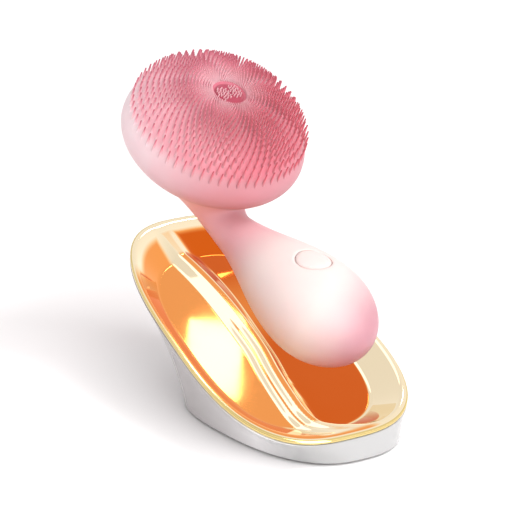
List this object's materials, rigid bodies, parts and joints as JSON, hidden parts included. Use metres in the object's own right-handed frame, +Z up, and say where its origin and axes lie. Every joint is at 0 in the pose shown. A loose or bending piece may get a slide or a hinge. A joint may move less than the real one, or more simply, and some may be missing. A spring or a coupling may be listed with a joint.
{
  "type": "facial cleansing brush",
  "caption": "Silicone facial cleansing brush with a round bristled head and egg-shaped handle, lying in a tilted display stand with a plated tray.",
  "frame": {"origin": "bottom centre of the whole object's box, on the surface the stand rests on", "axes": "+X to the right across the stand, +Y from the stand's low front to its high rear, where the brush head is, +Z up"},
  "size_m": [0.0702, 0.1278, 0.1041],
  "materials": {
    "silicone_skin": "satin",
    "silicone_button": "satin",
    "silicone_bristles": "satin",
    "white_gloss": "gloss",
    "gold_plate": "mirror",
    "white_matte": "matte",
    "inner_plastic": "matte",
    "steel_plate": "brushed",
    "steel_bright": "satin",
    "grey_rubber": "matte",
    "battery_wrap": "satin",
    "board_green": "satin",
    "switch_black": "matte",
    "lead_red": "satin",
    "lamp_clear": "gloss"
  },
  "bodies": {
    "stand": {"stand_shell": "white_gloss", "gold_tray": "gold_plate", "base_cover": "white_matte", "ballast_plate": "steel_plate", "foot_1": "grey_rubber", "foot_2": "grey_rubber", "foot_3": "grey_rubber", "foot_4": "grey_rubber", "base_screw_1": "steel_bright", "base_screw_2": "steel_bright", "base_screw_3": "steel_bright", "base_screw_4": "steel_bright"},
    "brush": {"handle_sleeve": "silicone_skin", "bristle_head": "silicone_bristles", "front_core": "inner_plastic", "back_core": "inner_plastic", "head_frame": "inner_plastic", "head_core": "inner_plastic", "motor_bracket": "inner_plastic", "motor": "steel_plate", "board_screw_1": "steel_bright", "board_screw_2": "steel_bright", "charging_socket": "steel_bright", "head_seal": "grey_rubber", "motor_cushion_1": "grey_rubber", "motor_cushion_2": "grey_rubber", "battery_pad": "grey_rubber", "battery": "battery_wrap", "circuit_board": "board_green", "tact_switch": "switch_black", "battery_leads": "lead_red", "motor_leads": "lead_red", "status_led": "lamp_clear"},
    "button": {"power_button": "silicone_button"},
    "plunger": {"switch_plunger": "switch_black"},
    "rotor": {"motor_shaft": "steel_bright", "eccentric_weight": "steel_plate"}
  },
  "joints": [
    {"name": "brush_lift", "type": "slide", "parent": "stand", "child": "brush", "axis": [0, -0.2957, 0.9553], "range_m": [0, 0.06]},
    {"name": "button_press", "type": "slide", "parent": "brush", "child": "button", "axis": [-0.0441, 0.3025, -0.9521], "range_m": [0, 0.0005], "stiffness_N_per_m": 400},
    {"name": "plunger_press", "type": "slide", "parent": "brush", "child": "plunger", "axis": [-0.0441, 0.3025, -0.9521], "range_m": [0, 0.0005]},
    {"name": "motor_spin", "type": "hinge", "parent": "brush", "child": "rotor", "pos_m": [0.01334, 0.03506, 0.08123], "axis": [0.9895, 0.1444, 0], "continuous": true}
  ],
  "couplings": [
    {"joint": "plunger_press", "follows": "button_press", "ratio": 1}
  ]
}
